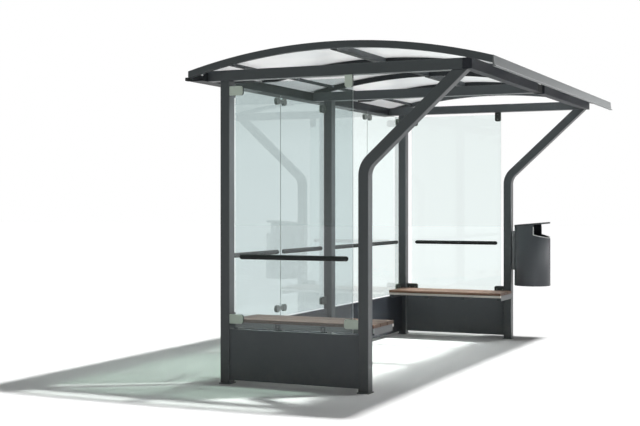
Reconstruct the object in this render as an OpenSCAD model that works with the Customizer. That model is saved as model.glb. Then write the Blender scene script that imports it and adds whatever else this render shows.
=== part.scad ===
// Bus shelter: open steel frame, barrel-vault roof, glass end and rear walls,
// two benches and a litter bin.
//
// Frame: x runs along the length, the open street side faces -y and the rear
// glass wall stands at +y. The origin lies on the ground under the middle of
// the roof. All sizes are in millimetres.

/* [Frame] */
// Length over the outer faces of the end posts
frame_l = 3930; // [3000:10:5000]
// Depth over the rear and front posts
frame_d = 1228; // [1000:1:1600]
// Clear height under the cross beams
clear_h = 2326; // [2100:1:2600]
// Width of post and beam tubes along the shelter
tube_w = 86; // [70:1:130]
// Depth of post and beam tubes across the shelter
tube_d = 80; // [50:1:100]
// Length of the cross beams behind the rear posts
beam_tail = 110; // [60:1:200]
// Distance the arms reach out from the front posts
arm_reach = 751; // [500:1:900]
// Slope of the arms above level, in degrees
arm_slope = 42.5; // [35:0.5:55]
// Inside radius of the bend below each arm
arm_bend_r = 118; // [60:1:200]
// Distance from the arm's tip line to the front beam's face
front_lip = 30; // [10:1:60]
// Width of the front beam across the shelter
front_beam_w = 70; // [50:1:100]
// Gap between the two front beam lengths
front_gap = 230; // [120:5:400]
// Thickness of the foot plates
foot_t = 8; // [6:1:20]
// Margin of the foot plates around the posts
foot_margin = 8; // [5:1:60]

/* [Roof] */
// Length of the roof past the end posts at each end
roof_overhang = 110; // [60:5:300]
// Distance the roof's front tips reach past the front beam
front_overhang = 181; // [120:1:300]
// Distance of the rear tip behind the rear posts
rear_overhang = 222; // [160:1:400]
// Rise of the roof arc above its tips
roof_rise = 163; // [80:1:400]
// Height of the roof's tips above the undersides of the beams
eave_rise = 74; // [60:1:160]
// Depth of the roof ribs
rib_h = 51; // [40:1:80]
// Width of the roof ribs
rib_w = 45; // [30:1:80]
// Number of roof panels along the length
panel_n = 4; // [2:2:8]
// Thickness of the roof panels
panel_t = 6; // [4:1:10]
// Depth of the roof panels below the gable ribs' tops
panel_drop = 4; // [2:1:10]
// Joint between two roof panels
panel_joint = 8; // [4:1:20]
// Width of the middle purlin
purlin_w = 60; // [40:1:100]
// Depth of the middle purlin
purlin_h = 46; // [30:1:80]
// Size of the rear purlin's square section
rear_purlin_s = 25; // [16:1:40]
// Distance of the rear purlin in front of the rear posts' backs
rear_purlin_in = 90; // [60:5:300]
// Wall of the gutter
gutter_t = 4; // [2:1:6]
// Radius of the gutter's round nose
nose_r = 13; // [8:1:20]
// Height of the front fascia
fascia_h = 78; // [50:1:100]
// Thickness of the front fascia
fascia_t = 6; // [2:1:10]
// Thickness of the drip lip under the front fascia
lip_t = 4; // [2:1:8]

/* [Glass and rails] */
// Thickness of the glass
glass_t = 8; // [6:1:12]
// Distance of the glass planes inside the posts' outer faces
glass_in = 11; // [6:1:30]
// Gap between posts and glass
glass_gap = 46; // [30:1:80]
// Joint between the two panes of a rear bay
pane_joint = 5; // [4:1:20]
// Gap between the beams and the top of the glass
glass_top_gap = 24; // [10:1:60]
// Gap between the lower panels and the bottom of the glass
glass_low_gap = 12; // [6:1:40]
// Height of the corner clamps
clamp_h = 70; // [50:1:100]
// Length of the corner clamps from the post
clamp_l = 112; // [80:1:160]
// Thickness of the corner clamps
clamp_t = 30; // [22:1:40]
// Height of the lower clamps' middles above the bottom of the glass
clamp_low_in = 66; // [50:1:200]
// Distance of the upper clamps' middles below the top of the glass
clamp_high_in = 56; // [50:1:200]
// Width of the hanging clamps under the cross beams
hanger_w = 60; // [40:1:80]
// Length of the hanging clamps below the cross beams
hanger_l = 92; // [60:1:140]
// Diameter of the patch fittings' discs
disc_d = 62; // [40:1:80]
// Thickness of the patch fittings' discs
disc_t = 12; // [8:1:16]
// Distance between the middles of two discs
disc_pitch = 130; // [90:1:180]
// Width of the bar between two discs
disc_bar_w = 31; // [20:1:40]
// Thickness of the bar between two discs
disc_bar_t = 8; // [4:1:14]
// Height of the handrails' middles above the ground
rail_h = 978; // [800:1:1100]
// Height of the handrails' section
rail_d = 38; // [25:1:50]
// Length of the handrails on the end walls
end_rail_l = 900; // [600:10:1200]
// Length of the handrails on the rear wall
rear_rail_l = 780; // [500:10:1000]

/* [Lower panels] */
// Height of the lower panels' top edges
sheet_top = 423; // [300:1:600]
// Gap between the ground and the lower panels
sheet_low_gap = 33; // [20:1:80]
// Thickness of the lower panels
sheet_t = 30; // [15:1:40]
// Distance of the lower panels inside the posts' outer faces
sheet_in = 8; // [2:1:30]

/* [Benches] */
// Height of the seats
seat_h = 494; // [400:1:550]
// Depth of the seats
seat_d = 405; // [300:5:450]
// Number of wooden slats in a seat
slat_n = 3; // [2:1:6]
// Gap between two slats
slat_gap = 8; // [4:1:16]
// Thickness of the slats
slat_t = 27; // [20:1:45]
// Distance of the seats' rear ends in front of the rear posts' backs
seat_rear_in = 51; // [20:1:70]
// Length of the seats past the front posts' faces
seat_past = 6; // [0:1:30]
// Height of the seat frame's rails along the end walls
seat_rail_h = 38; // [25:1:60]
// Height of the seat frame's rails along the open sides
seat_edge_h = 20; // [12:1:60]
// Width of the seat frame's rails
seat_rail_w = 20; // [12:1:30]
// Number of brackets under a seat
bracket_n = 4; // [2:1:6]
// Width of the brackets under a seat
bracket_w = 45; // [20:1:70]
// Distance the brackets reach below the seat rails
bracket_drop = 14; // [0:1:30]

/* [Litter bin] */
// Diameter of the bin
bin_d = 360; // [280:5:450]
// Wall of the bin
bin_t = 4; // [2:1:8]
// Height of the bin's bottom above the ground
bin_low = 553; // [400:1:700]
// Height of the rim at the front of the bin
bin_rim_h = 1038; // [800:1:1200]
// Height of the bin's back wall
bin_back_h = 1152; // [1000:1:1300]
// Slope of the front rim, in degrees
bin_rim_slope = 14; // [0:1:30]
// Distance of the hood's front edges in front of the bin's middle
bin_hood = 51; // [0:1:100]
// Thickness of the lid
lid_t = 16; // [6:1:20]
// Slope of the lid, in degrees
lid_slope = 5; // [0:0.5:12]
// Distance between the front post and the bin
bin_gap = 31; // [15:1:60]
// Height of the bracket's lower end above the bin's bottom
bin_bracket_up = 156; // [40:1:200]
// Height of the bracket between post and bin
bin_bracket_h = 396; // [200:1:500]
// Width of the bracket between post and bin
bin_bracket_w = 32; // [20:1:90]

/* [Hidden] */

arc_fn = 720;
round_fn = 48;
bin_fn = 96;
big = 10000;

// Stations along the length
half_l = frame_l / 2;
roof_l = frame_l + 2 * roof_overhang;
half_roof = roof_l / 2;
roof_w = rear_overhang + frame_d + arm_reach + front_lip + front_overhang;
end_post_x = half_l - tube_w / 2;
post_xs = [-end_post_x, 0, end_post_x];

// Stations across the shelter
wall_y = roof_w / 2 - rear_overhang;
rear_inner_y = wall_y - tube_d;
front_y = wall_y - frame_d;
front_inner_y = front_y + tube_d;
tail_y = wall_y + beam_tail;
arm_tip_y = front_y - arm_reach;
front_beam_y = arm_tip_y - front_lip;
front_beam_back_y = front_beam_y + front_beam_w;

// Heights
beam_top = clear_h + tube_d;
glass_top = clear_h - glass_top_gap;
glass_low = sheet_top + glass_low_gap;
clamp_low_z = glass_low + clamp_low_in;
clamp_high_z = glass_top - clamp_high_in;
eave_h = clear_h + eave_rise;

// Roof arc
roof_r = (roof_w * roof_w / 4 + roof_rise * roof_rise) / (2 * roof_rise);
arc_z = eave_h + roof_rise - roof_r;
panel_r = roof_r - panel_drop;
rib_r = panel_r - panel_t;
panel_pitch = roof_l / panel_n;
rib_xs = [for (i = [1 : panel_n - 1]) -half_roof + i * panel_pitch];
tip_y = roof_w / 2;
function arc_height(r, y) = arc_z + sqrt(r * r - y * y);

// Glass planes
end_glass_x = half_l - glass_in - glass_t / 2;
rear_glass_y = wall_y - glass_in - glass_t / 2;
end_glass_y0 = front_inner_y + glass_gap;
end_glass_y1 = rear_inner_y - glass_gap;
bay_x0 = tube_w / 2 + glass_gap;
bay_x1 = half_l - tube_w - glass_gap;
pane_w = (bay_x1 - bay_x0 - pane_joint) / 2;
pane_x0s = [-bay_x1, -bay_x1 + pane_w + pane_joint, bay_x0, bay_x0 + pane_w + pane_joint];

// Benches
seat_x = half_l - tube_w - seat_rail_w / 4;
slat_w = (seat_d - (slat_n - 1) * slat_gap) / slat_n;
seat_y0 = front_y - seat_past;
seat_y1 = wall_y - seat_rear_in;
seat_l = seat_y1 - seat_y0;
seat_rail_top = seat_h - slat_t;

// Litter bin
bin_x = end_post_x;
bin_y = front_y - bin_gap - bin_d / 2;

// A box between two opposite corners
module box(a, b) {
    translate(a) cube(b - a);
}

// Everything drawn at the far end, and again mirrored at the near end
module both_ends() {
    children();
    mirror([1, 0, 0]) children();
}

// Part of a long hollow arc: radii r0 to r1, from x0 to x1 and from y0 to y1
module arc_slab(r0, r1, x0, x1, y0, y1) {
    intersection() {
        translate([x0, 0, arc_z]) rotate([0, 90, 0]) difference() {
            cylinder(r = r1, h = x1 - x0, $fn = arc_fn);
            translate([0, 0, -1]) cylinder(r = r0, h = x1 - x0 + 2, $fn = arc_fn);
        }
        box([x0 - 1, y0, clear_h - 100], [x1 + 1, y1, eave_h + roof_rise + 100]);
    }
}

// Straight post from its foot plate to the cross beam
module rear_post(x) {
    color("#3a3e42")
        box([x - tube_w / 2, rear_inner_y, foot_t], [x + tube_w / 2, wall_y, clear_h]);
}

// Front post that bends outwards into the arm below the cross beam
module front_post(x) {
    turn = 90 - arm_slope;
    corner_z = clear_h - arm_reach * tan(arm_slope);
    bend_z = corner_z - arm_bend_r * tan(turn / 2);
    outer_r = arm_bend_r + tube_d;
    steps = 12;
    inner = [for (i = [0 : steps]) let (a = 180 - turn * i / steps)
        [arm_bend_r * (1 + cos(a)), bend_z + arm_bend_r * sin(a)]];
    outer = [for (i = [steps : -1 : 0]) let (a = 180 - turn * i / steps)
        [arm_bend_r + outer_r * cos(a), bend_z + outer_r * sin(a)]];
    tip = [[arm_reach, clear_h], [arm_reach - tube_d / sin(arm_slope), clear_h]];
    color("#3a3e42")
        translate([x + tube_w / 2, front_y, 0]) rotate([90, 0, -90])
            linear_extrude(height = tube_w)
                polygon(concat([[0, foot_t]], inner, tip, outer, [[-tube_d, foot_t]]));
}

// Plates under all five posts
module foot_plates() {
    module foot(x, y) {
        box([x - tube_w / 2 - foot_margin, y - tube_d / 2 - foot_margin, 0],
            [x + tube_w / 2 + foot_margin, y + tube_d / 2 + foot_margin, foot_t]);
    }
    color("#33373b") {
        for (x = post_xs) foot(x, wall_y - tube_d / 2);
        for (s = [-1, 1]) foot(s * end_post_x, front_y + tube_d / 2);
    }
}

// Beam across the shelter at one row of posts
module cross_beam(x) {
    color("#3a3e42")
        box([x - tube_w / 2, front_beam_back_y, clear_h], [x + tube_w / 2, tail_y, beam_top]);
}

// Two lengths of beam along the arm tips
module front_beam() {
    color("#3a3e42") both_ends()
        box([front_gap / 2, front_beam_y, clear_h], [half_l, front_beam_back_y, beam_top]);
}

// Recessed block that joins the two lengths of the front beam
module front_beam_splice() {
    inset = 6;
    color("#141618")
        box([-front_gap / 2, front_beam_y + 3 * inset, clear_h + inset],
            [front_gap / 2, front_beam_back_y, beam_top - inset]);
}

// Arched edge member at an end of the roof
module gable_rib(side) {
    x0 = side > 0 ? half_roof - rib_w : -half_roof;
    color("#3a3e42") arc_slab(roof_r - rib_h, roof_r, x0, x0 + rib_w, -tip_y, tip_y);
}

// Arched ribs between the roof's ends, notched where they sit on the beams
module roof_ribs() {
    color("#3a3e42") difference() {
        for (x = rib_xs)
            arc_slab(roof_r - rib_h, rib_r, x - rib_w / 2, x + rib_w / 2, -tip_y, tail_y);
        box([-half_roof, front_beam_y, 0], [half_roof, tail_y + 1, beam_top]);
    }
}

// One curved roof panel, counted from the near end
module roof_panel(i) {
    first = i == 1;
    last = i == panel_n;
    x0 = -half_roof + (i - 1) * panel_pitch + (first ? rib_w : panel_joint / 2);
    x1 = -half_roof + i * panel_pitch - (last ? rib_w : panel_joint / 2);
    color("#dfe6e8", 0.6) arc_slab(rib_r, panel_r, x0, x1, -tip_y, tip_y);
}

// Lengths of box section between the ribs, under the crown of the roof
module mid_purlin() {
    top = arc_height(rib_r, purlin_w / 2);
    for (i = [1 : panel_n]) {
        x0 = -half_roof + (i - 1) * panel_pitch + (i == 1 ? rib_w : rib_w / 2);
        x1 = -half_roof + i * panel_pitch - (i == panel_n ? rib_w : rib_w / 2);
        color("#3a3e42")
            box([x0, -purlin_w / 2, top - purlin_h], [x1, purlin_w / 2, top]);
    }
}

// Slim lengths of square section between the ribs, above the rear wall
module rear_purlin() {
    y1 = wall_y - rear_purlin_in + rear_purlin_s / 2;
    top = arc_height(rib_r, y1);
    for (i = [1 : panel_n]) {
        x0 = -half_roof + (i - 1) * panel_pitch + (i == 1 ? rib_w : rib_w / 2);
        x1 = -half_roof + i * panel_pitch - (i == panel_n ? rib_w : rib_w / 2);
        color("#33373b")
            box([x0, y1 - rear_purlin_s, top - rear_purlin_s], [x1, y1, top]);
    }
}

// Gutter along the rear eave, between the gable ribs, with a round nose
module rear_gutter() {
    x0 = -half_roof + rib_w;
    x1 = half_roof - rib_w;
    low = clear_h;
    outer_top = arc_height(rib_r, tip_y) - 1;
    color("#3a3e42") {
        box([x0, tail_y, low], [x1, tip_y, low + gutter_t]);
        box([x0, tail_y, low], [x1, tail_y + gutter_t, beam_top]);
        box([x0, tip_y - gutter_t, low], [x1, tip_y, outer_top]);
        box([x0, tip_y - gutter_t, low], [x1, tip_y + nose_r, low + 2 * nose_r]);
        translate([x0, tip_y + nose_r, low + nose_r]) rotate([0, 90, 0])
            cylinder(r = nose_r, h = x1 - x0, $fn = round_fn);
    }
}

// Plugs that close the nose of the gutter behind the gable ribs
module gutter_end_caps() {
    color("#141618") both_ends()
        box([half_roof - rib_w, tip_y, clear_h], [half_roof, tip_y + 2 * nose_r, clear_h + 2 * nose_r]);
}

// Sloping strip with a drip lip along the front edge of the roof
module front_fascia() {
    lip = 2 * nose_r;
    color("#8d9194")
        translate([-half_roof, -tip_y, eave_h - fascia_h]) rotate([90, 0, 90])
            linear_extrude(height = roof_l)
                polygon([[0, 0], [-lip, 0], [-lip, lip_t], [-lip / 2, 3 * lip_t],
                         [-fascia_t, fascia_h], [0, fascia_h]]);
}

// Pane of the glass wall at the far end
module end_glass() {
    color("#cfe3de", 0.5)
        box([end_glass_x - glass_t / 2, end_glass_y0, glass_low],
            [end_glass_x + glass_t / 2, end_glass_y1, glass_top]);
}

// One pane of the rear wall, counted from the near end
module rear_glass(i) {
    x0 = pane_x0s[i - 1];
    color("#cfe3de", 0.5)
        box([x0, rear_glass_y - glass_t / 2, glass_low],
            [x0 + pane_w, rear_glass_y + glass_t / 2, glass_top]);
}

// Folded steel panel under the glass at the far end
module end_panel() {
    color("#3a3e42")
        box([half_l - sheet_in - sheet_t, front_inner_y, sheet_low_gap],
            [half_l - sheet_in, rear_inner_y, sheet_top]);
}

// Folded steel panel under the rear glass of the far bay
module rear_panel() {
    color("#3a3e42")
        box([tube_w / 2, wall_y - sheet_in - sheet_t, sheet_low_gap],
            [half_l - tube_w, wall_y - sheet_in, sheet_top]);
}

// Clamps that hold the end panes at the posts and under the beams
module end_glass_clamps() {
    x0 = end_glass_x - clamp_t / 2;
    x1 = end_glass_x + clamp_t / 2;
    color("#aeb3ae") both_ends() difference() {
        union() {
            for (z = [clamp_low_z, clamp_high_z])
                box([x0, rear_inner_y - clamp_l, z - clamp_h / 2], [x1, rear_inner_y, z + clamp_h / 2]);
            box([x0, front_inner_y, clamp_low_z - clamp_h / 2],
                [x1, front_inner_y + clamp_l, clamp_low_z + clamp_h / 2]);
            box([x0, end_glass_y0 + 1, clear_h - hanger_l], [x1, end_glass_y0 + 1 + hanger_w, clear_h]);
        }
        end_glass();
    }
}

// Clamps that hold the rear panes at the posts
module rear_glass_clamps() {
    y0 = rear_glass_y - clamp_t / 2;
    y1 = rear_glass_y + clamp_t / 2;
    color("#aeb3ae") both_ends() difference() {
        for (z = [clamp_low_z, clamp_high_z]) {
            box([tube_w / 2, y0, z - clamp_h / 2], [tube_w / 2 + clamp_l, y1, z + clamp_h / 2]);
            box([half_l - tube_w - clamp_l, y0, z - clamp_h / 2], [half_l - tube_w, y1, z + clamp_h / 2]);
        }
        for (i = [3, 4]) rear_glass(i);
    }
}

// Twin discs and their bar on both faces of each joint between rear panes
module patch_fittings() {
    joint_x = bay_x0 + pane_w + pane_joint / 2;
    color("#9aa19c") both_ends() for (z = [clamp_low_z, clamp_high_z]) for (s = [-1, 1])
        translate([joint_x, rear_glass_y + s * glass_t / 2, z]) rotate([-90 * s, 0, 0]) {
            for (k = [-1, 1]) translate([k * disc_pitch / 2, 0, 0])
                cylinder(d = disc_d, h = disc_t, $fn = round_fn);
            translate([-disc_pitch / 2, -disc_bar_w / 2, 0]) cube([disc_pitch, disc_bar_w, disc_bar_t]);
        }
}

// Half-round bar of length l along x, resting with its flat on the plane y = 0
module half_rail(l) {
    r = rail_d / 2;
    rotate([0, 90, 0]) rotate_extrude(angle = 180, $fn = round_fn) intersection() {
        union() {
            translate([0, r - l / 2]) square([r, l - 2 * r]);
            for (s = [-1, 1]) translate([0, s * (l / 2 - r)]) circle(r = r, $fn = round_fn);
        }
        translate([0, -l]) square([rail_d, 2 * l]);
    }
}

// Handrails on both faces of the end panes
module end_handrails() {
    mid_y = (end_glass_y0 + end_glass_y1) / 2;
    color("#1c1f21") both_ends() for (s = [-1, 1])
        translate([end_glass_x + s * glass_t / 2, mid_y, rail_h]) rotate([0, 0, -90 * s])
            half_rail(end_rail_l);
}

// Handrails on both faces of the rear panes
module rear_handrails() {
    color("#1c1f21") for (x0 = pane_x0s) for (s = [-1, 1])
        translate([x0 + pane_w / 2, rear_glass_y + s * glass_t / 2, rail_h]) rotate([0, 0, s > 0 ? 0 : 180])
            half_rail(rear_rail_l);
}

// Wooden slats of the bench at the far end
module bench_slats() {
    color("#8a7059") for (i = [0 : slat_n - 1]) {
        x1 = seat_x - i * (slat_w + slat_gap);
        box([x1 - slat_w, seat_y0, seat_rail_top], [x1, seat_y1, seat_h]);
    }
}

// Rails along both long edges of both seats
module bench_rails() {
    wall_x = half_l - tube_w;
    edge_x = seat_x - seat_d;
    color("#9aa0a3") both_ends() {
        box([wall_x - seat_rail_w, seat_y0, seat_rail_top - seat_rail_h], [wall_x, seat_y1, seat_rail_top]);
        box([edge_x, seat_y0, seat_rail_top - seat_edge_h], [edge_x + seat_rail_w, seat_y1, seat_rail_top]);
    }
}

// Brackets between the rails of both seats
module bench_brackets() {
    low = seat_rail_top - seat_rail_h - bracket_drop;
    pitch = (seat_l - bracket_w) / (bracket_n - 1);
    color("#2c3033") both_ends() for (i = [0 : bracket_n - 1]) {
        y0 = seat_y0 + i * pitch;
        box([seat_x - seat_d + seat_rail_w, y0, low],
            [half_l - tube_w - seat_rail_w, y0 + bracket_w, seat_rail_top]);
    }
}

// Round bin, open above a sloping rim at the front and high at the back
module bin_body() {
    r = bin_d / 2;
    hood_low = bin_rim_h + (r - bin_hood) * tan(bin_rim_slope);
    color("#4a4e53") translate([bin_x, bin_y, 0]) difference() {
        translate([0, 0, bin_low]) cylinder(r = r, h = bin_back_h - bin_low + r, $fn = bin_fn);
        translate([0, 0, bin_low + bin_t])
            cylinder(r = r - bin_t, h = bin_back_h - bin_low + r, $fn = bin_fn);
        // the front opening above the sloping rim
        translate([-r - 1, 0, 0]) rotate([90, 0, 90]) linear_extrude(height = bin_d + 2)
            polygon([[-r, bin_rim_h], [-bin_hood, hood_low], [-bin_hood, big], [-bin_d, big],
                     [-bin_d, bin_rim_h]]);
        // the underside of the lid
        translate([-r - 1, r, bin_back_h]) rotate([-lid_slope, 0, 0])
            translate([0, -3 * r, 0]) cube([bin_d + 2, 4 * r, big]);
    }
}

// Flat round lid that slopes up to the front
module bin_lid() {
    r = bin_d / 2;
    color("#33373b") translate([bin_x, bin_y + r, bin_back_h]) rotate([-lid_slope, 0, 0])
        translate([0, -r, 0]) cylinder(r = r, h = lid_t, $fn = bin_fn);
}

// Bracket between the far front post and the bin
module bin_bracket() {
    low = bin_low + bin_bracket_up;
    half_w = bin_bracket_w / 2;
    color("#33373b") difference() {
        box([bin_x - half_w, bin_y, low], [bin_x + half_w, front_y, low + bin_bracket_h]);
        translate([bin_x, bin_y, 0]) cylinder(r = bin_d / 2, h = big, $fn = bin_fn);
    }
}

rear_post(post_xs[0]);  // rear_post_near
rear_post(post_xs[1]);  // rear_post_middle
rear_post(post_xs[2]);  // rear_post_far
front_post(post_xs[0]);  // front_post_near
front_post(post_xs[2]);  // front_post_far
foot_plates();
cross_beam(post_xs[0]);  // cross_beam_near
cross_beam(post_xs[1]);  // cross_beam_middle
cross_beam(post_xs[2]);  // cross_beam_far
front_beam();
front_beam_splice();
gable_rib(-1);  // gable_rib_near
gable_rib(1);  // gable_rib_far
roof_ribs();
roof_panel(1);  // roof_panel_1
roof_panel(2);  // roof_panel_2
roof_panel(3);  // roof_panel_3
roof_panel(4);  // roof_panel_4
mid_purlin();
rear_purlin();
rear_gutter();
gutter_end_caps();
front_fascia();
mirror([1, 0, 0]) end_glass();  // end_glass_near
end_glass();  // end_glass_far
rear_glass(1);  // rear_glass_1
rear_glass(2);  // rear_glass_2
rear_glass(3);  // rear_glass_3
rear_glass(4);  // rear_glass_4
mirror([1, 0, 0]) end_panel();  // end_panel_near
end_panel();  // end_panel_far
mirror([1, 0, 0]) rear_panel();  // rear_panel_1
rear_panel();  // rear_panel_2
end_glass_clamps();
rear_glass_clamps();
patch_fittings();
end_handrails();
rear_handrails();
mirror([1, 0, 0]) bench_slats();  // bench_slats_near
bench_slats();  // bench_slats_far
bench_rails();
bench_brackets();
bin_body();
bin_lid();
bin_bracket();
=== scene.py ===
"""Looks of a bus shelter: painted steel frame, glass walls, barrel roof, benches and a litter bin."""
import logging
import math
from dataclasses import dataclass, field
from enum import Enum
from typing import Callable, Iterable, Sequence

import bmesh
import bpy
from mathutils import Matrix, Vector


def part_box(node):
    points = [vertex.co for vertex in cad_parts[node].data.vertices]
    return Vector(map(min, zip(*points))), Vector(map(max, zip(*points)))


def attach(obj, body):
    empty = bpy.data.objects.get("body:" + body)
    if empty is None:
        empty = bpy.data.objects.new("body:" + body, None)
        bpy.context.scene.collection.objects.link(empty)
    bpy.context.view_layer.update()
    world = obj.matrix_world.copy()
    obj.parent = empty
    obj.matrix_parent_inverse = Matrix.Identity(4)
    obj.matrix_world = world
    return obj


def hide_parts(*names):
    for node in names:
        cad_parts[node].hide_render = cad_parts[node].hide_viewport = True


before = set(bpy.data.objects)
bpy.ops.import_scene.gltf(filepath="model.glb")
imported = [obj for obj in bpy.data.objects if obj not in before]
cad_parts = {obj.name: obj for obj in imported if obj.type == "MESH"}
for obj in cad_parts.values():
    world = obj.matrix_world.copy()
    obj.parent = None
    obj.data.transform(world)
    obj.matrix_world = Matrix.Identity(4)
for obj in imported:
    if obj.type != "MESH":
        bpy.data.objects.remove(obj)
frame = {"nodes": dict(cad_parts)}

LOG = logging.getLogger("bus_shelter")
ROOT = "root"
TINY = 1e-5
SHARP = math.radians(30.0)
FLAT = math.radians(0.2)

Colour = tuple[float, float, float]
Socket = bpy.types.NodeSocket
Node = bpy.types.Node

WHITE: Colour = (1.0, 1.0, 1.0)
DARK_PAINT: Colour = (0.04, 0.045, 0.05)
DARK_COAT: Colour = (0.040, 0.046, 0.050)
SPECKS: Colour = (0.5, 0.52, 0.55)
DUST: Colour = (0.36, 0.34, 0.31)
PORES: Colour = (0.05, 0.03, 0.02)
LAMP_TINT: Colour = (0.36, 0.43, 0.385)
EDGE_LAMP_TINT: Colour = (0.6, 0.7, 0.66)


class Kind(Enum):
    """Kinds of value that a node group's socket carries."""

    COLOUR = "NodeSocketColor"
    VALUE = "NodeSocketFloat"
    VECTOR = "NodeSocketVector"


class Along(Enum):
    """Axes along which a metal is drawn, or which go through a pane."""

    X = 0
    Y = 1


class NodeSheet:
    """A node tree with short calls for adding and joining nodes."""

    def __init__(self, tree: bpy.types.NodeTree) -> None:
        """Takes the tree that the nodes go into.

        Args:
            tree: a material's, world's or group's node tree.
        """
        self.tree = tree

    def add(self, kind: str, inputs: dict | None = None, **settings: object) -> Node:
        """Adds one node.

        Args:
            kind: the node's type name, without the leading ShaderNode.
            inputs: socket name or index to a plain value or to another node's output.
            settings: the node's own properties.

        Returns:
            The new node.
        """
        node = self.tree.nodes.new("ShaderNode" + kind)
        for name, value in settings.items():
            setattr(node, name, value)
        for key, value in (inputs or {}).items():
            self.put(node.inputs[key], value)
        return node

    def put(self, socket: Socket, value: object) -> None:
        """Sets a socket to a plain value, or links it to an output."""
        if isinstance(value, bpy.types.NodeSocket):
            self.tree.links.new(value, socket)
        elif isinstance(value, tuple) and len(value) == 3 and socket.type == "RGBA":
            socket.default_value = (*value, 1.0)
        else:
            socket.default_value = value

    def maths(self, operation: str, first: object, second: object = 0.0, clamp: bool = False) -> Socket:
        """Adds a Math node.

        Args:
            operation: the node's operation.
            first: its first value or output.
            second: its second value or output.
            clamp: whether the result is held between 0 and 1.

        Returns:
            The result's socket.
        """
        node = self.add("Math", {0: first, 1: second}, operation=operation, use_clamp=clamp)
        return node.outputs[0]

    def fit(self, value: object, low: float, high: float, to_low: float = 0.0, to_high: float = 1.0) -> Socket:
        """Maps a value from one range to another, held at the ends.

        Args:
            value: the value or output to map.
            low: the value that gives to_low.
            high: the value that gives to_high.
            to_low: the result at low.
            to_high: the result at high.

        Returns:
            The result's socket.
        """
        node = self.add("MapRange", {0: value, 1: low, 2: high, 3: to_low, 4: to_high}, clamp=True)
        return node.outputs[0]

    def blend(self, share: object, first: object, second: object, blend_type: str = "MIX") -> Socket:
        """Mixes two colours.

        Args:
            share: the second colour's share.
            first: the first colour or output.
            second: the second colour or output.
            blend_type: how the two combine.

        Returns:
            The mixed colour's socket.
        """
        node = self.add("Mix", data_type="RGBA", blend_type=blend_type, clamp_factor=True)
        self.put(node.inputs[0], share)
        self.put(node.inputs[6], first)
        self.put(node.inputs[7], second)
        return node.outputs[2]

    def noise(self, where: object, scale: float, detail: float = 3.0, roughness: float = 0.5) -> Socket:
        """Adds a noise texture.

        Args:
            where: the coordinates' output.
            scale: waves in a metre.
            detail: octaves of finer noise.
            roughness: strength of the finer noise.

        Returns:
            The noise value's socket.
        """
        inputs = {"Vector": where, "Scale": scale, "Detail": detail, "Roughness": roughness}
        return self.add("TexNoise", inputs).outputs[0]

    def stretched(self, where: object, scale: Sequence[float]) -> Socket:
        """Scales coordinates along each axis.

        Args:
            where: the coordinates' output.
            scale: the three factors.

        Returns:
            The scaled coordinates' socket.
        """
        node = self.add("VectorMath", {0: where, 1: tuple(scale)}, operation="MULTIPLY")
        return node.outputs[0]


class EffectGroup(NodeSheet):
    """A shader node group with named inputs and outputs, shared by several materials."""

    def __init__(self, name: str, inputs: dict[str, tuple[Kind, object]], outputs: dict[str, Kind]) -> None:
        """Makes the group's interface.

        Args:
            name: the group's name.
            inputs: input name to its kind and its default value.
            outputs: output name to its kind.
        """
        tree = bpy.data.node_groups.new(name, "ShaderNodeTree")
        super().__init__(tree)
        for label, (kind, value) in inputs.items():
            socket = tree.interface.new_socket(label, in_out="INPUT", socket_type=kind.value)
            socket.default_value = (*value, 1.0) if kind is Kind.COLOUR else value
        for label, kind in outputs.items():
            tree.interface.new_socket(label, in_out="OUTPUT", socket_type=kind.value)
        self.given = tree.nodes.new("NodeGroupInput").outputs
        self.result = tree.nodes.new("NodeGroupOutput").inputs

    def place(self) -> Socket:
        """Adds the object's own coordinates, in metres."""
        return self.add("TexCoord").outputs["Object"]


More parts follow.
